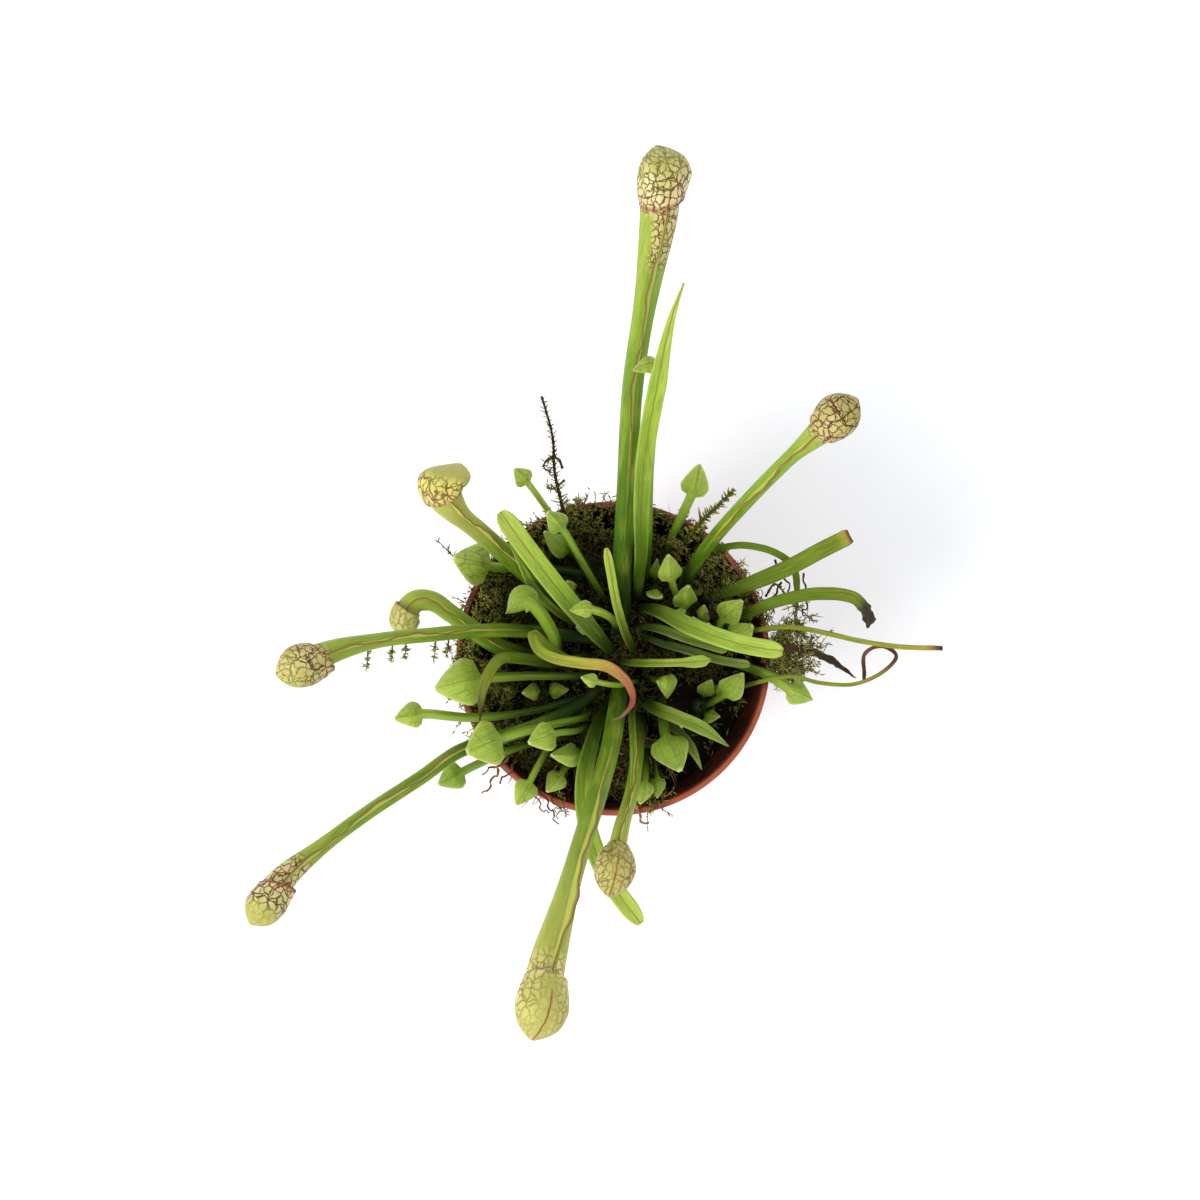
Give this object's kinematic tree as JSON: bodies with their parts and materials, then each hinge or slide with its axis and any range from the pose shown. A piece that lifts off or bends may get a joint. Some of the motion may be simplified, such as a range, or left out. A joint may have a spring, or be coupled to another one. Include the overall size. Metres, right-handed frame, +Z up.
{
  "type": "potted pitcher plant",
  "caption": "Young hooded pitcher plant with long veined trumpet leaves and a tuft of small arrowhead pitchers, standing in mossy peat in a round terracotta-coloured plastic pot.",
  "frame": {"origin": "centre of the pot's flat foot", "axes": "+Z up along the pot's axis; -Y is the side of the longest low pitcher and the edge of the picture nearest its bottom; +X is to the right of the picture"},
  "size_m": [0.1882, 0.212, 0.1694],
  "materials": {
    "pot": "satin",
    "peat": "matte",
    "rhizome": "matte",
    "leaf_grown": "satin",
    "leaf_young": "satin",
    "leaf_withered": "matte",
    "moss": "matte"
  },
  "bodies": {
    "root": {"bent_leaf_east": "leaf_withered", "bulb_leaf_east": "leaf_grown", "curled_leaf": "leaf_withered", "cut_leaf_east": "leaf_grown", "dead_leaf_east": "leaf_withered", "growing_leaf_east": "leaf_grown", "growing_leaf_north": "leaf_grown", "growing_leaf_north_west": "leaf_grown", "growing_leaf_upright": "leaf_grown", "growing_leaves_east": "leaf_young", "leaf_south_east": "leaf_grown", "leaf_south_east_low": "leaf_grown", "long_leaf_south": "leaf_grown", "long_withered_leaf_east": "leaf_withered", "looped_leaf_east": "leaf_withered", "moss_sprig_north_east": "moss", "moss_sprig_north_west": "moss", "peat": "peat", "pitcher_north": "leaf_grown", "pitcher_north_east": "leaf_grown", "pitcher_north_west": "leaf_grown", "pitcher_south": "leaf_grown", "pitcher_south_short": "leaf_grown", "pitcher_south_west": "leaf_grown", "pitcher_west": "leaf_grown", "pitcher_west_drooping": "leaf_grown", "pot": "pot", "rhizome": "rhizome", "rosette_centre": "leaf_young", "rosette_east": "leaf_young", "rosette_north": "leaf_young", "rosette_north_east": "leaf_young", "rosette_south": "leaf_young", "rosette_south_east": "leaf_young", "rosette_south_west": "leaf_young", "rosette_west": "leaf_young", "thin_leaf_north_west": "leaf_grown", "thin_leaf_south": "leaf_grown", "withered_leaf_north_east": "leaf_withered", "withered_leaf_west": "leaf_withered", "young_pitcher_centre": "leaf_young", "young_pitcher_east_inner": "leaf_young", "young_pitcher_north_dark": "leaf_young", "young_pitcher_north_east_wide": "leaf_young", "young_pitcher_north_hooked": "leaf_young", "young_pitcher_north_west_inner": "leaf_young", "young_pitcher_north_west_long": "leaf_young", "young_pitcher_north_west_tiny": "leaf_young", "young_pitcher_over_rim_east": "leaf_young", "young_pitcher_south_east_large": "leaf_young", "young_pitcher_south_west_inner": "leaf_young", "young_pitcher_south_west_large": "leaf_young", "young_pitcher_south_west_low": "leaf_young", "young_pitcher_south_west_rim": "leaf_young", "young_pitcher_west_large": "leaf_young", "young_pitcher_west_outer": "leaf_young", "young_pitcher_west_thick": "leaf_young", "young_pitcher_west_veined": "leaf_young"}
  },
  "joints": []
}
